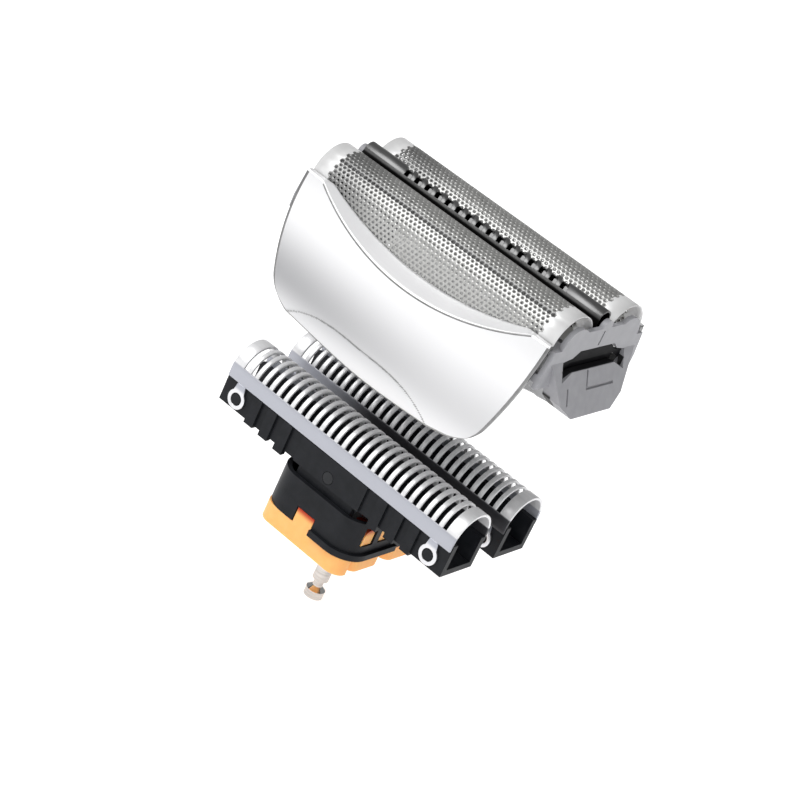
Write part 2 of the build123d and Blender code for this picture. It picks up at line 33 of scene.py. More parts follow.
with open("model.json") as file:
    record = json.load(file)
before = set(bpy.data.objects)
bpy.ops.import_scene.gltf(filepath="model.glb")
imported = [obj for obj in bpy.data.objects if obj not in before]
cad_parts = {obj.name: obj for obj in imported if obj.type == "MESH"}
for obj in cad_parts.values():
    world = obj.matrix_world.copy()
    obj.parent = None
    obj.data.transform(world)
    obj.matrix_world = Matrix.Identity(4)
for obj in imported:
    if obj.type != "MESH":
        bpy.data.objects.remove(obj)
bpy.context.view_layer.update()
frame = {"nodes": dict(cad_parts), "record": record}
scene = bpy.context.scene
MM = 0.001

# Cutters, beyond what their CAD boxes give
CUTTER_LEG = 1.0 * MM
CUTTER_WALL = 0.35 * MM
CUTTER_EDGE = 0.06 * MM        # width of the broken edges
CUTTER_LEG_ROWS = 2
CUTTER_STRIP_ROWS = 4
CUTTER_ARCH_ROWS = 44
STRIP_HEIGHT = 1.9 * MM        # plain strip below the slots
SLOT_COUNT = 28
SLOT_PITCH = 1.2 * MM
SLOT_WIDTH = 0.64 * MM
EYELET_SPACING = 31.6 * MM
EYELET_DROP = 2.0 * MM         # from the foot of the strip to the eyelet's centre
EYELET_RADIUS = 1.28 * MM
EYELET_HOLE = 0.78 * MM        # radius of its hole
EYELET_NECK = 0.75 * MM        # half the width of its neck
EYELET_SIDES = 36

# Foils
FOIL_SHEET = 0.12 * MM         # thickness
FOIL_INNER_LEG = 1.6 * MM      # the leg beside the trimmer
FOIL_PLAIN_FOOT = 0.35         # share of the outer leg that has no holes
HOLE_PITCH = 0.62 * MM
HOLE_RADIUS = 0.15 * MM
HEX_SIDES = 6
PLAIN_END = 2.0 * MM           # strip without holes at each end
FOIL_CREASE_TURN = math.radians(50)    # place of the crease on the arch, from the outer leg
FOIL_CREASE_WIDTH = 0.35 * MM
FOIL_CREASE_DEPTH = 0.08 * MM
WELD_STEPS = 1e7               # steps in a metre: corners that round to the same step are one point
FOIL_FINISHES = ("foil_end_highlight", "foil_crease_shade")

# Trimmer comb
TRIMMER_WALL = 0.22 * MM
TRIMMER_EDGE = 0.04 * MM       # width of the broken edges
TRIMMER_LEG_ROWS = 3
TRIMMER_ARCH_ROWS = 36
TRIMMER_SLOTS = 16
TRIMMER_PITCH = 1.6 * MM
TRIMMER_SLOT_WIDTH = 1.0 * MM
TRIMMER_SLOT_DEPTH = 1.35 * MM     # along the sheet, to either side of its top
TRIMMER_SLANT = 0.5 * MM       # how far a slot's ends lean along the comb

# Lugs in the windows at the collar's ends
LUG_PLACES = (-6.3 * MM, -3.1 * MM)
LUG_HALF_WIDTH = 0.95 * MM
LUG_SHOULDER = 1.15 * MM       # where the round top starts, above the foot
LUG_FOOT = 14.15 * MM
LUG_DEPTH = (6.3 * MM, 6.8 * MM)       # inner and outer face, from the middle
LUG_ARC_STEPS = 12

# Covers, with heights against the foils' centre
COVER_WALL = 0.6 * MM
COVER_GAP = 0.08 * MM          # between the foil and the cover's lip
COVER_CROWN = -10.2 * MM       # height of the cover's widest place
COVER_BOW = 12.5               # how fast the cover's face falls back above and below that, per metre
COVER_PLAN_BOW = 2.5           # the same, along the cover
COVER_TOP = 0.6 * MM
COVER_EDGE = -14.3 * MM        # lower edge at the ends
COVER_SAG = 1.9 * MM           # lower edge in the middle, below the ends
COVER_TAPER = 3.1 * MM         # the ends run in by this much towards the lower edge
COVER_ROUND = 0.44             # 0.5 turns a corner fully round, 0 leaves it square
COVER_CORNER = 0.18            # rounding of the lower corners, as a share of the half length
COVER_LINE = 0.018             # painted shade line under the cut-out's lip, as a share of the height
COVER_COLUMNS = 120
COVER_FACE_ROWS = 26           # rows between that line and the finer ones below
COVER_FINE_FROM = 0.66         # where the finer rows start, as a share of the height
COVER_FINE_ROWS = 68
COVER_EDGE_ROWS = 3            # rows of faces in the painted grey shade line along the lower edge
COVER_FINISHES = ("cover_edge_shade", "cover_crease_shade", "cover_inside")
LIP_ROWS = 8
LIP_PASSES = 8                 # passes that settle where the lip meets the bulged face
LIP_DIP = 0.08 * MM            # the painted shade line runs where the lip lies lower than the top by this much
SMILE_RADIUS = 46.0 * MM       # curve of the cut-out
SMILE_TILT = math.radians(28)
SMILE_DEPTH = 2.2 * MM
ROLL_WIDTH = 3.6 * MM          # turned-in band along the lower edge, at the middle
ROLL_HALF_LENGTH = 11.4 * MM   # where that band runs out
ROLL_CENTER = -1.6 * MM
ROLL_POWER = 3                 # how blunt the band's ends are
ROLL_LEAN = 0.245              # how far it turns in for each unit of height
CREASE_WIDTH = 0.22 * MM
CREASE_DEPTH = 0.1 * MM
CREASE_LINE = 0.09 * MM        # half the width of the painted grey shade line in the crease

# Broken edges: widths, and the angle in degrees between faces from which an edge is broken
EDGE_SEGMENTS = 2
SHEET_EDGE_ANGLE = 40
EYELET_EDGE_ANGLE = 30
NODE_EDGE_ANGLE = 35
NODE_EDGES = {
    "drive_coupling": 0.3 * MM,
    "base_collar": 0.2 * MM,
    "front_carrier": 0.12 * MM,
    "rear_carrier": 0.12 * MM,
    "foil_holder": 0.15 * MM,
    "trimmer_bridge": 0.15 * MM,
    "drive_pin": 0.06 * MM,
}

# Finishes: the colour where the noise is low, the colour where it is high, and the range of roughness
FINISHES = {
    "pin_steel": ((0.44, 0.44, 0.43), (0.60, 0.60, 0.59), (0.10, 0.20)),
    "coupling_orange": ((0.94, 0.45, 0.14), (0.97, 0.49, 0.17), (0.42, 0.50)),
    "block_black": ((0.009, 0.010, 0.012), (0.014, 0.015, 0.018), (0.36, 0.46)),
    "cutter_steel": ((0.78, 0.78, 0.79), (0.86, 0.86, 0.87), (0.30, 0.40)),
    "eyelet_steel": ((0.64, 0.64, 0.66), (0.74, 0.74, 0.76), (0.28, 0.38)),
    "guide_pin_black": ((0.010, 0.011, 0.013), (0.016, 0.017, 0.020), (0.30, 0.40)),
    "spring_steel": ((0.36, 0.36, 0.36), (0.50, 0.50, 0.50), (0.28, 0.40)),
    "holder_grey": ((0.31, 0.31, 0.33), (0.36, 0.36, 0.38), (0.34, 0.44)),
    "cover_chrome": ((0.82, 0.82, 0.83), (0.85, 0.85, 0.86), (0.29, 0.35)),
    "cover_inside": ((0.60, 0.60, 0.61), (0.68, 0.68, 0.69), (0.40, 0.50)),
    # Dark grey finishes for painted shade: on the cover's crease line and lower edge, and on its edges and
    # the line under the lip
    "cover_crease_shade": ((0.27, 0.27, 0.27), (0.33, 0.33, 0.33), (0.34, 0.44)),
    "cover_edge_shade": ((0.20, 0.20, 0.20), (0.28, 0.28, 0.28), (0.34, 0.44)),
    # Pale finish of the foils' plain ends: a painted highlight
    "foil_end_highlight": ((0.74, 0.74, 0.74), (0.80, 0.80, 0.80), (0.40, 0.50)),
    "foil_steel": ((0.40, 0.40, 0.39), (0.50, 0.50, 0.49), (0.36, 0.48)),
    # Dark finish for painted shade along the foil's crease
    "foil_crease_shade": ((0.16, 0.16, 0.16), (0.22, 0.22, 0.22), (0.36, 0.48)),
    "bridge_black": ((0.006, 0.006, 0.007), (0.010, 0.010, 0.011), (0.36, 0.46)),
    "trimmer_steel": ((0.12, 0.12, 0.12), (0.17, 0.17, 0.17), (0.30, 0.40)),
}
NOISE_SPAN = (0.3, 0.7)        # most of a noise's values lie in here
METAL_SCALE = 1.2
METAL_DETAIL = 4
PLASTIC_SCALE = 0.8
PLASTIC_DETAIL = 3
PLASTIC_GLOSS = 0.25
GRAIN_SCALE = 9.0
GRAIN_DETAIL = 2
GRAIN_STRENGTH = 0.12
GRAIN_DEPTH = 0.01 * MM
BLOCK_GLOSS = 0.14
BRIDGE_GLOSS = 0.03
INSIDE_GLOSS = 0.1
ORANGE_GLOW = 0.2              # light that passes through the orange moulding
GLOW_RADIUS = (1.0, 0.35, 0.1)
GLOW_DEPTH = 0.8 * MM
PLATING_METALLIC = 0.35
CUTTER_METALLIC = 0.35
# Low metal and a coarse noise for the foils' plain ends, painted pale as a highlight
END_HIGHLIGHT_METALLIC = 0.3
END_HIGHLIGHT_SCALE = 0.4

# Stretch of the noise along X, Y and Z: a low number draws it out
EVEN = (1, 1, 1)
PIN_BRUSHING = (0.4, 0.4, 3)
SPRING_BRUSHING = (0.3, 3, 3)
CUTTER_BRUSHING = (0.25, 2, 2)
TRIMMER_BRUSHING = (0.3, 2, 2)
PLATING_CLOUDS = (0.1, 0.1, 0.1)

# Colours that a finish turns to: painted shade, and one painted reflection tone
# Painted shade, deep red, on the orange tab in the collar's front notch and on the tops of the coupling's
# posts
TAB_SHADE = (0.45, 0.04, 0.01)
COUPLING_SHADE = (0.40, 0.03, 0.01)
# Painted shade on the cover's face below the cut-out
PLATING_SHADE = (0.34, 0.34, 0.35)
INSIDE_SHADE = (0.02, 0.02, 0.02)
# Painted reflection tone for the cutters' plain strips and the eyelets' necks; the other colours here are
# painted shade
STRIP_GREY = (0.40, 0.41, 0.455)
# Painted shade on the cutters' strips where they face each other
GAP_SHADE = (0.04, 0.04, 0.045)
FOIL_SHADE = (0.20, 0.20, 0.20)
TRIMMER_SHADE = (0.008, 0.008, 0.008)
SILL_SHADE = (0.012, 0.012, 0.013)

# Places where a finish turns to its painted shade or tone: the start and the end of the change along an axis
# of the object
TAB_FRONT_Y = (-7.5 * MM, -8.0 * MM)
TAB_SHADE_Z = (13.2 * MM, 14.1 * MM)
COUPLING_INSIDE_Y = (-8.0 * MM, -7.5 * MM)
COUPLING_SHADE_Z = (15.3 * MM, 16.3 * MM)
PLATING_SHADE_Z = (47.0 * MM, 38.5 * MM)
PLATING_FADE_X = (-18.0 * MM, 16.0 * MM)
PLATING_FADE_Z = (34.0 * MM, 38.5 * MM)
PLATING_FAR_SHARE = 0.55       # strength of the painted shade at the cover's far end
PLATING_LOW_SHARE = 0.3        # and along its lower edge
INSIDE_SHADE_Z = (41.5 * MM, 43.0 * MM)
STRIP_TOP_Z = (24.05 * MM, 23.8 * MM)
GAP_SHADE_X = (-14.0 * MM, -3.0 * MM)
GAP_FRONT_Y = (-5.0 * MM, -4.0 * MM)
GAP_REAR_Y = (5.0 * MM, 4.0 * MM)
NECK_TOP_Z = (21.0 * MM, 21.5 * MM)
FOIL_SHADE_X = (-7.0 * MM, -15.0 * MM)
FOIL_END_SHARE = 0.75          # strength of the painted shade at the foil's darker end
TRIMMER_SHADE_Z = (52.6 * MM, 52.3 * MM)
SILL_OUTER_X = (19.62 * MM, 19.5 * MM)
SILL_INNER_X = (18.0 * MM, 18.4 * MM)
SILL_TOP_Z = (47.3 * MM, 47.15 * MM)
SILL_FRONT_Y = (-6.7 * MM, -6.5 * MM)
SILL_REAR_Y = (6.7 * MM, 6.5 * MM)

# Studio, in metres, degrees and watts
FLOOR_HALF = 4.0
FLOOR_COLORS = ((0.60, 0.60, 0.60), (0.63, 0.63, 0.63))
FLOOR_ROUGHNESS = 0.9
FLOOR_GLOSS = 0.1
FLOOR_GLOW = 0.8
FLOOR_SCALE = 0.02
FLOOR_DETAIL = 2
WHITE = (1, 1, 1, 1)
WORLD_STRENGTH = 0.42
LIGHT_AIM = (0, 0, 0.03)
LIGHTS = {                     # place, width and power
    "key": ((-0.42, -0.56, 0.8), 0.75, 8.0),
    "fill": ((0.75, -0.35, 0.4), 0.6, 1.2),
}
CAMERA_PLACE = (0.11848, -0.22486, 0.14926)
CAMERA_AZIMUTH = 27.89
CAMERA_ELEVATION = 25.35
CAMERA_ROLL = 25.19
CAMERA_LENS = 107.9            # millimetres, as is the sensor
CAMERA_SENSOR = 36
CAMERA_CLIP = (0.01, 20)


# Materials

def start_material(name):
    """An empty principled material and the nodes to fill it with."""
    material = bpy.data.materials.new(name)
    material.use_nodes = True
    tree = material.node_tree
    return material, tree, tree.nodes["Principled BSDF"]


def object_noise(tree, scale, detail, stretch=EVEN):
    """Noise over object coordinates in millimetres."""
    coordinates = tree.nodes.new("ShaderNodeTexCoord")
    mapping = tree.nodes.new("ShaderNodeMapping")
    mapping.inputs["Scale"].default_value = [part / MM for part in stretch]
    noise = tree.nodes.new("ShaderNodeTexNoise")
    noise.inputs["Scale"].default_value = scale
    noise.inputs["Detail"].default_value = detail
    tree.links.new(coordinates.outputs["Object"], mapping.inputs["Vector"])
    tree.links.new(mapping.outputs["Vector"], noise.inputs["Vector"])
    return noise.outputs["Fac"]


def color_between(tree, factor, low, high, target):
    """A colour that runs from low to high with the noise."""
    ramp = tree.nodes.new("ShaderNodeValToRGB")
    for element, position, color in zip(ramp.color_ramp.elements, NOISE_SPAN, (low, high)):
        element.position = position
        element.color = (*color, 1)
    tree.links.new(factor, ramp.inputs["Fac"])
    tree.links.new(ramp.outputs["Color"], target)


def map_range(tree, source, limits, results):
    """A number that runs from one result to the other while the source goes between the limits."""
    spread = tree.nodes.new("ShaderNodeMapRange")
    spread.inputs["From Min"].default_value = limits[0]
    spread.inputs["From Max"].default_value = limits[1]
    spread.inputs["To Min"].default_value = results[0]
    spread.inputs["To Max"].default_value = results[1]
    tree.links.new(source, spread.inputs["Value"])
    return spread


def uneven_finish(tree, shader, name, factor):
    """Colour and roughness of a finish, both uneven with the noise."""
    low, high, roughness = FINISHES[name]
    color_between(tree, factor, low, high, shader.inputs["Base Color"])
    spread = map_range(tree, factor, NOISE_SPAN, roughness)
    tree.links.new(spread.outputs["Result"], shader.inputs["Roughness"])


def metal(name, stretch=EVEN, scale=METAL_SCALE, metallic=1.0):
    """Metal with a slightly uneven colour and polish, drawn out along one axis where it is brushed."""
    material, tree, shader = start_material(name)
    shader.inputs["Metallic"].default_value = metallic
    uneven_finish(tree, shader, name, object_noise(tree, scale, METAL_DETAIL, stretch))
    return material


def plastic(name, gloss=PLASTIC_GLOSS, glow=0.0):
    """Moulded plastic with a fine satin grain."""
    material, tree, shader = start_material(name)
    uneven_finish(tree, shader, name, object_noise(tree, PLASTIC_SCALE, PLASTIC_DETAIL))
    bump = tree.nodes.new("ShaderNodeBump")
    bump.inputs["Strength"].default_value = GRAIN_STRENGTH
    bump.inputs["Distance"].default_value = GRAIN_DEPTH
    tree.links.new(object_noise(tree, GRAIN_SCALE, GRAIN_DETAIL), bump.inputs["Height"])
    tree.links.new(bump.outputs["Normal"], shader.inputs["Normal"])
    shader.inputs["Specular IOR Level"].default_value = gloss
    if glow:
        shader.inputs["Subsurface Weight"].default_value = glow
        shader.inputs["Subsurface Radius"].default_value = GLOW_RADIUS
        shader.inputs["Subsurface Scale"].default_value = GLOW_DEPTH
    return material


def ramp_along(tree, axis, limits, results=(0.0, 1.0)):
    """A number that runs smoothly from one result to the other between two places along an axis."""
    coordinates = tree.nodes.new("ShaderNodeTexCoord")
    parts = tree.nodes.new("ShaderNodeSeparateXYZ")
    tree.links.new(coordinates.outputs["Object"], parts.inputs["Vector"])
    spread = map_range(tree, parts.outputs[axis], limits, results)
    spread.interpolation_type = "SMOOTHSTEP"
    return spread.outputs["Result"]


def tint(material, color, *ramps):
    """Let the base colour turn to a shade by the product of ramps, each an axis, its limits and results."""
    tree = material.node_tree
    shader = tree.nodes["Principled BSDF"]
    source = shader.inputs["Base Color"].links[0].from_socket
    factors = [ramp_along(tree, *ramp) for ramp in ramps]
    product = factors[0]
    for factor in factors[1:]:
        times = tree.nodes.new("ShaderNodeMath")
        times.operation = "MULTIPLY"
        tree.links.new(product, times.inputs[0])
        tree.links.new(factor, times.inputs[1])
        product = times.outputs["Value"]
    mix = tree.nodes.new("ShaderNodeMix")
    mix.data_type = "RGBA"
    mix.inputs["B"].default_value = (*color, 1)
    tree.links.new(product, mix.inputs["Factor"])
    tree.links.new(source, mix.inputs["A"])
    tree.links.new(mix.outputs["Result"], shader.inputs["Base Color"])


def orange_finish(name):
    """Bright orange moulding, with painted shade that turns it deep red where it reaches up into the collar.
    """
    material = plastic(name, glow=ORANGE_GLOW)
    tint(material, TAB_SHADE, ("Z", TAB_SHADE_Z), ("Y", TAB_FRONT_Y))
    tint(material, COUPLING_SHADE, ("Z", COUPLING_SHADE_Z), ("Y", COUPLING_INSIDE_Y))
    return material


def cover_finish(name):
    """Pale satin plating with painted shade below the cut-out, strongest at one end."""
    material = metal(name, PLATING_CLOUDS, metallic=PLATING_METALLIC)
    tint(material, PLATING_SHADE, ("Z", PLATING_SHADE_Z), ("X", PLATING_FADE_X, (1.0, PLATING_FAR_SHARE)),
         ("Z", PLATING_FADE_Z, (PLATING_LOW_SHARE, 1.0)))
    return material


def inside_finish(name):
    """Pale moulding inside a cover, with painted dark shade where the end windows look in on it."""
    material = plastic(name, INSIDE_GLOSS)
    tint(material, INSIDE_SHADE, ("Z", INSIDE_SHADE_Z))
    return material


def cutter_finish(name):
    """Bright ground steel, with a greyer painted reflection tone on the plain strip along each leg, and
    painted dark shade between the cutters.
    """
    material = metal(name, CUTTER_BRUSHING, metallic=CUTTER_METALLIC)
    strip = ("Z", STRIP_TOP_Z)
    tint(material, STRIP_GREY, strip)
    tint(material, GAP_SHADE, strip, ("X", GAP_SHADE_X), ("Y", GAP_FRONT_Y), ("Y", GAP_REAR_Y))
    return material


def eyelet_finish(name):
    """Pale ground steel, with the strip's greyer painted reflection tone on the neck up to the strip."""
    material = metal(name)
    tint(material, STRIP_GREY, ("Z", NECK_TOP_Z))
    return material


def foil_finish(name):
    """Satin steel sheet, with painted shade that darkens it towards one end."""
    material = metal(name)
    tint(material, FOIL_SHADE, ("X", FOIL_SHADE_X, (0.0, FOIL_END_SHARE)))
    return material


def trimmer_finish(name):
    """Dark satin steel, with a painted black shadow low down beside the foils."""
    material = metal(name, TRIMMER_BRUSHING)
    tint(material, TRIMMER_SHADE, ("Z", TRIMMER_SHADE_Z))
    return material


def holder_finish(name):
    """Metallic grey moulding, with painted black shade on the sills of the end windows, under the bridge."""
    material = plastic(name)
    for side in (-1, 1):
        outer = [side * x for x in SILL_OUTER_X]
        inner = [side * x for x in SILL_INNER_X]
        tint(material, SILL_SHADE, ("X", outer), ("X", inner), ("Z", SILL_TOP_Z), ("Y", SILL_FRONT_Y),
             ("Y", SILL_REAR_Y))
    return material


MATERIALS = {
    "pin_steel": metal("pin_steel", PIN_BRUSHING),
    "coupling_orange": orange_finish("coupling_orange"),
    "block_black": plastic("block_black", BLOCK_GLOSS),
    "cutter_steel": cutter_finish("cutter_steel"),
    "eyelet_steel": eyelet_finish("eyelet_steel"),
    "guide_pin_steel": plastic("guide_pin_black"),
    "spring_steel": metal("spring_steel", SPRING_BRUSHING),
    "holder_grey": holder_finish("holder_grey"),
    "cover_chrome": cover_finish("cover_chrome"),
    "cover_inside": inside_finish("cover_inside"),
    "cover_crease_shade": metal("cover_crease_shade"),
    "cover_edge_shade": metal("cover_edge_shade"),
    "foil_end_highlight": metal("foil_end_highlight", scale=END_HIGHLIGHT_SCALE, metallic=END_HIGHLIGHT_METALLIC),
    "foil_steel": foil_finish("foil_steel"),
    "foil_crease_shade": metal("foil_crease_shade"),
    "bridge_black": plastic("bridge_black", BRIDGE_GLOSS),
    "trimmer_steel": trimmer_finish("trimmer_steel"),
}


# Sheets

def new_piece(name, points, faces, slot, body, *nodes, finish=None):
    """A mesh piece with its material, riding on a body in place of CAD nodes."""
    mesh = bpy.data.meshes.new(name)
    mesh.from_pydata(points, [], faces)
    mesh.validate()
    mesh.update()
    for face in mesh.polygons:
        face.use_smooth = True
    piece = bpy.data.objects.new(name, mesh)
    scene.collection.objects.link(piece)
    mesh.materials.append(MATERIALS[finish or slot])
    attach(piece, body)
    if nodes:
        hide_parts(*nodes)
    return piece


def paint_faces(piece, painted, finishes):
    """Add finishes to a piece, and give the listed faces theirs by name."""
    for finish in finishes:
        piece.data.materials.append(MATERIALS[finish])
    for index, finish in painted.items():
        piece.data.polygons[index].material_index = 1 + finishes.index(finish)


def break_edges(piece, width, angle):
    """Round off the edges where faces meet at more than an angle."""
    bevel = piece.modifiers.new("edge", "BEVEL")
    bevel.width = width
    bevel.segments = EDGE_SEGMENTS
    bevel.limit_method = "ANGLE"
    bevel.angle_limit = math.radians(angle)
    return bevel


def thicken(piece, wall):
    """Give a sheet its thickness inwards."""
    solid = piece.modifiers.new("wall", "SOLIDIFY")
    solid.thickness = wall
    solid.offset = -1
    return solid


def arch_point(run, radius, leg):
    """Place (y, z) on an arched sheet, by distance from its first leg's foot; z = 0 at the arch's centre."""
    if run < leg:
        return -radius, run - leg
    turn = (run - leg) / radius
    if turn < math.pi:
        return -radius * math.cos(turn), radius * math.sin(turn)
    return radius, -(run - leg - math.pi * radius)


def steps(start, end, count):
    """Evenly spaced values with both ends."""
    return [start + (end - start) * index / count for index in range(count + 1)]


def upright(run):
    """Slots that don't lean."""
    return 0


def slotted_sheet(half_length, rows, slotted, slots, place, lean=upright):
    """Points and faces of a sheet with slots across it; lean shifts a slot's edges along it with the run."""
    edges = [-half_length]
    for center, width in slots:
        edges += [center - width / 2, center + width / 2]
    edges.append(half_length)
    points = []
    for run in rows:
        y, z = place(run)
        for index, x in enumerate(edges):
            inner = 0 < index < len(edges) - 1
            points.append((x + (lean(run) if inner else 0), y, z))
    faces = []
    width = len(edges)
    for row in range(len(rows) - 1):
        middle = (rows[row] + rows[row + 1]) / 2
        open_row = slotted[0] < middle < slotted[1]
        for column in range(width - 1):
            if open_row and column % 2 == 1:
                continue
            first = row * width + column
            faces.append((first, first + 1, first + width + 1, first + width))
    return points, faces


def even_slots(count, pitch, width):
    """Slots spaced evenly about the middle."""
    return [((index - (count - 1) / 2) * pitch, width) for index in range(count)]


def add_eyelet(points, faces, center, outward, wall, rise):
    """Add a flat ring with a narrow neck up to the strip, as a closed solid."""
    x0, y0, z0 = center
    start = len(points)
    for depth in (0, -wall):
        for radius in (EYELET_RADIUS, EYELET_HOLE):
            for index in range(EYELET_SIDES):
                angle = 2 * math.pi * index / EYELET_SIDES
                x = radius * math.cos(angle)
                z = radius * math.sin(angle)
                if radius == EYELET_RADIUS and z > 0 and abs(x) < EYELET_NECK:
                    z = rise
                points.append((x0 + x, y0 + outward * depth, z0 + z))
    outer_rim, outer_hole, inner_rim, inner_hole = [start + EYELET_SIDES * ring for ring in range(4)]
    around = (outer_rim, outer_hole, inner_hole, inner_rim, outer_rim)
    bands = list(zip(around, around[1:]))
    for index in range(EYELET_SIDES):
        after = (index + 1) % EYELET_SIDES
        for one, other in bands:
            face = (one + index, one + after, other + after, other + index)
            faces.append(face if outward > 0 else face[::-1])


def make_cutter(name):
    """Slotted arch and its eyelets, in place of one cutter."""
    low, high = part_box(name + "_cutter")
    body = name + "_cutter_unit"
    radius = (high[1] - low[1]) / 2
    middle = (high[1] + low[1]) / 2
    center = high[2] - radius
    half_length = high[0]
    plain = CUTTER_LEG + math.asin((STRIP_HEIGHT - CUTTER_LEG) / radius) * radius
    total = 2 * CUTTER_LEG + math.pi * radius
    rows = steps(0, CUTTER_LEG, CUTTER_LEG_ROWS)[:-1]
    rows += steps(CUTTER_LEG, plain, CUTTER_STRIP_ROWS)[:-1]
    rows += steps(plain, total - plain, CUTTER_ARCH_ROWS)
    rows += steps(total - plain, total - CUTTER_LEG, CUTTER_STRIP_ROWS)[1:]
    rows += steps(total - CUTTER_LEG, total, CUTTER_LEG_ROWS)[1:]

    def place(run):
        y, z = arch_point(run, radius, CUTTER_LEG)
        return middle + y, center + z

    slots = even_slots(SLOT_COUNT, SLOT_PITCH, SLOT_WIDTH)
    points, faces = slotted_sheet(half_length, rows, (plain, total - plain), slots, place)
    arch = new_piece(name + "_cutter_arch", points, faces, "cutter_steel", body, name + "_cutter")
    thicken(arch, CUTTER_WALL)
    break_edges(arch, CUTTER_EDGE, SHEET_EDGE_ANGLE)
    ring_height = center - CUTTER_LEG - EYELET_DROP
    points = []
    faces = []
    for outward in (-1, 1):
        for x in (-EYELET_SPACING / 2, EYELET_SPACING / 2):
            ring_center = (x, middle + outward * radius, ring_height)
            add_eyelet(points, faces, ring_center, outward, CUTTER_WALL, EYELET_DROP)
    rings = new_piece(name + "_cutter_eyelets", points, faces, "cutter_steel", body, finish="eyelet_steel")
    break_edges(rings, CUTTER_EDGE, EYELET_EDGE_ANGLE)


def hexagon(center, radius):
    """Corners of an upright hexagon, from the top."""
    corners = []
    for index in range(HEX_SIDES):
        angle = math.pi / 2 + index * 2 * math.pi / HEX_SIDES
        corners.append((center[0] + radius * math.cos(angle), center[1] + radius * math.sin(angle)))
    return corners


def make_foil(name, outward):
    """Arched sheet tiled with small six-sided cells, most of them with a hole, in place of one foil."""
    low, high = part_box(name + "_foil")
    radius = (high[1] - low[1]) / 2
    middle = (high[1] + low[1]) / 2
    center = high[2] - radius
    leg = center - low[2]
    total = leg + math.pi * radius + FOIL_INNER_LEG
    half_length = high[0]
    cell = HOLE_PITCH / math.sqrt(3)
    row_step = 1.5 * cell
    crease = leg + FOIL_CREASE_TURN * radius
    index_of = {}
    points = []
    faces = []
    painted = {}

    def corner(spot):
        x = max(-half_length, min(half_length, spot[0]))
        run = max(0, min(total, spot[1]))
        key = (round(x * WELD_STEPS), round(run * WELD_STEPS))
        if key not in index_of:
            sunk = max(0, 1 - abs(run - crease) / FOIL_CREASE_WIDTH) * FOIL_CREASE_DEPTH
            y, z = arch_point(run, radius, leg)
            y *= 1 - sunk / radius
            z *= 1 - sunk / radius
            index_of[key] = len(points)
            points.append((x, middle + outward * y, center + z))
        return index_of[key]

    def add_face(rim, finish):
        if finish:
            painted[len(faces)] = finish
        faces.append(tuple(rim))

    def add_plain(spots, finish=None):
        rim = list(dict.fromkeys(corner(spot) for spot in spots))
        if len(rim) > 2:
            add_face(rim, finish)

    def add_pierced(spots, hole, finish):
        rim = [corner(spot) for spot in spots]
        inner = [corner(spot) for spot in hole]
        for side in range(HEX_SIDES):
            after = (side + 1) % HEX_SIDES
            add_face((rim[side], rim[after], inner[after], inner[side]), finish)

    rows = int(total / row_step) + 2
    columns = int((half_length - PLAIN_END) / HOLE_PITCH)
    for row in range(rows):
        run = row * row_step
        odd = row % 2
        pierced = leg * FOIL_PLAIN_FOOT < run < total - FOIL_INNER_LEG
        # Cells along the crease get a dark finish: painted shade in the crease
        finish = "foil_crease_shade" if abs(run - crease) < row_step / 2 else None
        for column in range(-columns, columns + 1 - odd):
            spot = ((column + 0.5 * odd) * HOLE_PITCH, run)
            if pierced:
                add_pierced(hexagon(spot, cell), hexagon(spot, HOLE_RADIUS), finish)
            else:
                add_plain(hexagon(spot, cell))
        reach = (columns + 0.5 - 0.5 * odd) * HOLE_PITCH
        next_reach = (columns + 0.5 * odd) * HOLE_PITCH
        foot, shoulder, top = run - cell / 2, run + cell / 2, run + cell
        # The real plain strips at the foil's ends get a pale finish that paints a highlight on them
        for below, above, near, far in ((foot, shoulder, reach, reach), (shoulder, top, reach, next_reach)):
            right = [(near, below), (half_length, below), (half_length, above), (far, above)]
            left = [(-half_length, below), (-near, below), (-far, above), (-half_length, above)]
            add_plain(right, "foil_end_highlight")
            add_plain(left, "foil_end_highlight")
    if outward < 0:
        faces = [face[::-1] for face in faces]
    foil = new_piece(name + "_foil_sheet", points, faces, "foil_steel", "cassette", name + "_foil")
    paint_faces(foil, painted, FOIL_FINISHES)
    thicken(foil, FOIL_SHEET)


def cover_face(x, rise, crown):
    """Distance of the cover's outer face from the middle, at a height against the foils' centre."""
    return crown - COVER_BOW * (rise - COVER_CROWN) ** 2 - COVER_PLAN_BOW * x * x


def smile_rise(x, reach):
    """Height of the cut-out's slanting lip, by distance along the cover and in front of the foil."""
    arc = SMILE_RADIUS - math.sqrt(SMILE_RADIUS ** 2 - x * x)
    rise = (arc - reach * math.sin(SMILE_TILT)) / math.cos(SMILE_TILT) - SMILE_DEPTH
    return min(COVER_TOP, rise)


def roll_width(x):
    """Height of the band along the cover's lower edge."""
    return ROLL_WIDTH * max(0, 1 - abs((x - ROLL_CENTER) / ROLL_HALF_LENGTH) ** ROLL_POWER)


def roll_in(x, above_edge):
    """How far the band along the cover's lower edge turns in, with a fine crease where it starts."""
    width = roll_width(x)
    if width < CREASE_WIDTH:
        return 0
    crease = max(0, 1 - abs(above_edge - width) / CREASE_WIDTH)
    return ROLL_LEAN * max(0, width - above_edge) ** 2 / width + CREASE_DEPTH * crease


def on_crease(x, above_edge):
    """Whether a point of the cover lies on the crease's painted grey shade line."""
    width = roll_width(x)
    return width > CREASE_WIDTH and abs(above_edge - width) < CREASE_LINE


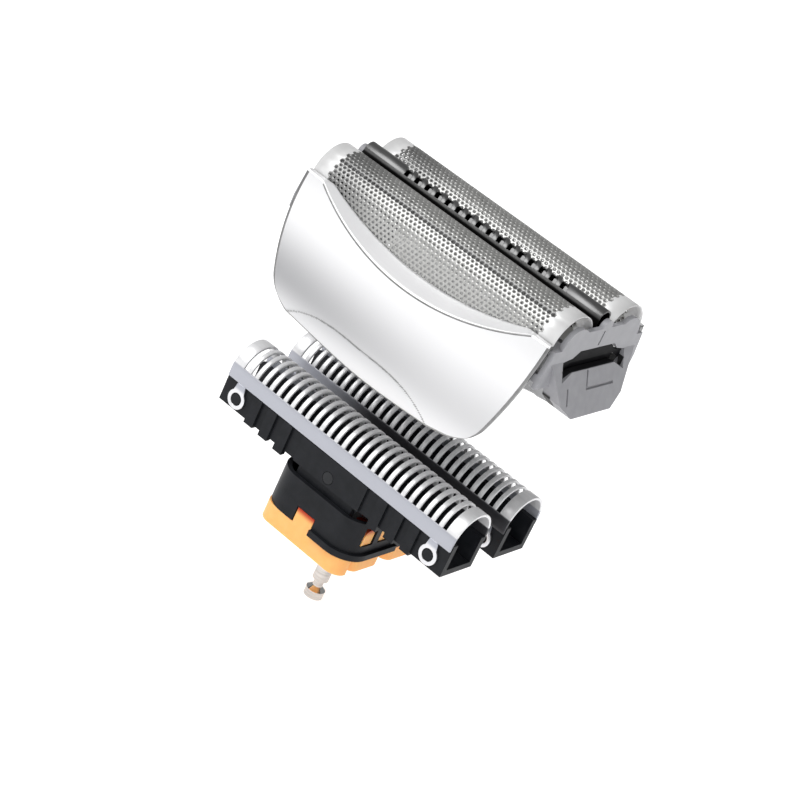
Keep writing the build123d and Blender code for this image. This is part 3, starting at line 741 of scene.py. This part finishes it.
def round_corner(across, down):
    """Pull the lower corners of the unit grid in to a rounded corner."""
    limit = 1 - COVER_CORNER
    if abs(across) <= limit or down <= limit:
        return across, down
    outward = (abs(across) - limit) / COVER_CORNER
    lower = (down - limit) / COVER_CORNER
    pulled_in = limit + COVER_CORNER * outward * math.sqrt(1 - COVER_ROUND * lower * lower)
    pulled_up = limit + COVER_CORNER * lower * math.sqrt(1 - COVER_ROUND * outward * outward)
    return math.copysign(pulled_in, across), pulled_up


def cover_column(across, downs, half_length, foil_face, crown):
    """Points (x, distance from the middle, height) from the foil over the lip and down to the lower edge."""
    x = across * half_length
    top = COVER_TOP
    for _ in range(LIP_PASSES):
        top = smile_rise(x, cover_face(x, top, crown) - foil_face)
    bottom = COVER_EDGE - COVER_SAG * (1 - across * across)
    reach = cover_face(x, top, crown) - foil_face
    column = []
    for row in range(LIP_ROWS):
        part = reach * row / LIP_ROWS
        column.append((x, foil_face + part, smile_rise(x, part)))
    for down in downs:
        turned, fallen = round_corner(across, down)
        rise = top + (bottom - top) * fallen
        tapered = (COVER_TOP - rise) / (COVER_TOP - COVER_EDGE)
        x_here = turned * (half_length - COVER_TAPER * tapered * tapered)
        column.append((x_here, cover_face(x_here, rise, crown) - roll_in(x_here, rise - bottom), rise))
    return column


def make_cover(name, side):
    """Bulged shell with a rolled lower edge and the curved cut-out's lip, in place of one cover."""
    low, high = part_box(name + "_cover")
    foil_low, foil_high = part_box(name + "_foil")
    center = foil_high[2] - (foil_high[1] - foil_low[1]) / 2
    crown = max(abs(low[1]), abs(high[1]))
    foil_face = max(abs(foil_low[1]), abs(foil_high[1])) + COVER_GAP
    downs = [0] + steps(COVER_LINE, COVER_FINE_FROM, COVER_FACE_ROWS)[:-1]
    downs += steps(COVER_FINE_FROM, 1, COVER_FINE_ROWS)
    grid = [cover_column(across, downs, high[0], foil_face, crown) for across in steps(-1, 1, COVER_COLUMNS)]
    points = [(x, side * y, center + rise) for column in grid for x, y, rise in column]
    faces = []
    painted = {}
    tall = LIP_ROWS + len(downs)
    for column in range(COVER_COLUMNS):
        bottom = grid[column][-1][2]
        for row in range(tall - 1):
            x, _, rise = grid[column][row]
            # Faces painted dark as shade: the line under the lip and the end columns take the edge finish,
            # the crease line and the lower rows the crease finish
            if row == LIP_ROWS and rise < COVER_TOP - LIP_DIP:
                painted[len(faces)] = "cover_edge_shade"
            if row > LIP_ROWS and on_crease(x, rise - bottom):
                painted[len(faces)] = "cover_crease_shade"
            if row > LIP_ROWS and column in (0, COVER_COLUMNS - 1):
                painted[len(faces)] = "cover_edge_shade"
            if row >= tall - 1 - COVER_EDGE_ROWS:
                painted[len(faces)] = "cover_crease_shade"
            first = column * tall + row
            face = (first, first + 1, first + tall + 1, first + tall)
            faces.append(face if side < 0 else face[::-1])
    cover = new_piece(name + "_cover_shell", points, faces, "cover_chrome", "cassette", name + "_cover")
    paint_faces(cover, painted, COVER_FINISHES)
    solid = thicken(cover, COVER_WALL)
    # The wall's inside takes the pale inside finish, its cut edges the dark edge finish as painted shade
    solid.material_offset = 1 + COVER_FINISHES.index("cover_inside")
    solid.material_offset_rim = 1 + COVER_FINISHES.index("cover_edge_shade")


def make_lugs():
    """Orange lugs in the windows at the collar's ends."""
    outline = [(-LUG_HALF_WIDTH, 0)]
    for turn in steps(math.pi, 0, LUG_ARC_STEPS):
        rise = LUG_SHOULDER + LUG_HALF_WIDTH * math.sin(turn)
        outline.append((LUG_HALF_WIDTH * math.cos(turn), rise))
    outline.append((LUG_HALF_WIDTH, 0))
    count = len(outline)
    points = []
    faces = []
    for side in (-1, 1):
        for place in LUG_PLACES:
            start = len(points)
            back = start + count
            for x in LUG_DEPTH:
                points += [(side * x, side * place + y, LUG_FOOT + z) for y, z in outline]
            lug_faces = [tuple(range(start, back)), tuple(range(back, back + count))[::-1]]
            for index in range(count):
                after = (index + 1) % count
                lug_faces.append((start + index, back + index, back + after, start + after))
            faces += [face if side > 0 else face[::-1] for face in lug_faces]
    lugs = new_piece("window_lugs", points, faces, "coupling_orange", "base")
    for face in lugs.data.polygons:
        face.use_smooth = False


def make_comb():
    """Trimmer channel with leaning slots, in place of the comb."""
    low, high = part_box("trimmer_comb")
    radius = (high[1] - low[1]) / 2
    center = high[2] - radius
    leg = center - low[2]
    total = 2 * leg + math.pi * radius
    first = total / 2 - TRIMMER_SLOT_DEPTH
    last = total - first
    rows = steps(0, first, TRIMMER_LEG_ROWS)[:-1]
    rows += steps(first, last, TRIMMER_ARCH_ROWS)
    rows += steps(last, total, TRIMMER_LEG_ROWS)[1:]

    def place(run):
        y, z = arch_point(run, radius, leg)
        return y, center + z

    def lean(run):
        return TRIMMER_SLANT * math.cos(math.pi * (run - first) / (last - first))

    slots = even_slots(TRIMMER_SLOTS, TRIMMER_PITCH, TRIMMER_SLOT_WIDTH)
    points, faces = slotted_sheet(high[0], rows, (first, last), slots, place, lean)
    comb = new_piece("trimmer_comb_sheet", points, faces, "trimmer_steel", "trimmer", "trimmer_comb")
    thicken(comb, TRIMMER_WALL)
    break_edges(comb, TRIMMER_EDGE, SHEET_EDGE_ANGLE)


def dress_node(node, slot):
    """Finish of a CAD piece, with its edges broken where they are listed."""
    piece = frame["nodes"][node]
    piece.data.materials.clear()
    piece.data.materials.append(MATERIALS[slot])
    if node in NODE_EDGES:
        bevel = break_edges(piece, NODE_EDGES[node], NODE_EDGE_ANGLE)
        bevel.harden_normals = True


for part in frame["record"]["subparts"]:
    dress_node(part["node"], part["material_slot"])
for side_name, side in (("front", -1), ("rear", 1)):
    make_cutter(side_name)
    make_foil(side_name, -side)
    make_cover(side_name, side)
make_comb()
make_lugs()


# Studio

def make_floor():
    """Plain pale floor, wide enough to fill every view."""
    corners = [(x * FLOOR_HALF, y * FLOOR_HALF, 0) for x, y in ((-1, -1), (1, -1), (1, 1), (-1, 1))]
    mesh = bpy.data.meshes.new("floor")
    mesh.from_pydata(corners, [], [(0, 1, 2, 3)])
    floor = bpy.data.objects.new("floor", mesh)
    scene.collection.objects.link(floor)
    material, tree, shader = start_material("floor")
    shader.inputs["Roughness"].default_value = FLOOR_ROUGHNESS
    shader.inputs["Specular IOR Level"].default_value = FLOOR_GLOSS
    factor = object_noise(tree, FLOOR_SCALE, FLOOR_DETAIL)
    color_between(tree, factor, *FLOOR_COLORS, shader.inputs["Base Color"])
    shader.inputs["Emission Color"].default_value = WHITE
    shader.inputs["Emission Strength"].default_value = FLOOR_GLOW
    mesh.materials.append(material)


def make_light(name, place, size, power):
    """Soft square light aimed at the object."""
    data = bpy.data.lights.new(name, "AREA")
    data.shape = "SQUARE"
    data.size = size
    data.energy = power
    light = bpy.data.objects.new(name, data)
    light.location = place
    light.rotation_euler = (Vector(LIGHT_AIM) - Vector(place)).to_track_quat("-Z", "Y").to_euler()
    scene.collection.objects.link(light)


def make_world():
    """Even white surroundings."""
    world = bpy.data.worlds.new("studio")
    world.use_nodes = True
    background = world.node_tree.nodes["Background"]
    background.inputs["Color"].default_value = WHITE
    background.inputs["Strength"].default_value = WORLD_STRENGTH
    scene.world = world


def make_camera():
    """Camera at the photograph's angle, leaning as the photograph does."""
    across = math.radians(CAMERA_AZIMUTH)
    down = math.radians(CAMERA_ELEVATION)
    forward = Vector((-math.sin(across) * math.cos(down), math.cos(across) * math.cos(down), -math.sin(down)))
    level = forward.cross(Vector((0, 0, 1))).normalized()
    upward = level.cross(forward)
    lean = math.radians(CAMERA_ROLL)
    right = level * math.cos(lean) + upward * math.sin(lean)
    up = right.cross(forward)
    data = bpy.data.cameras.new("camera")
    data.lens = CAMERA_LENS
    data.sensor_width = CAMERA_SENSOR
    data.clip_start, data.clip_end = CAMERA_CLIP
    camera = bpy.data.objects.new("camera", data)
    turned = Matrix((right, up, -forward)).transposed().to_4x4()
    camera.matrix_world = Matrix.Translation(CAMERA_PLACE) @ turned
    scene.collection.objects.link(camera)
    scene.camera = camera


make_floor()
make_world()
for light_name, light_values in LIGHTS.items():
    make_light(light_name, *light_values)
make_camera()
scene.view_settings.view_transform = "Standard"
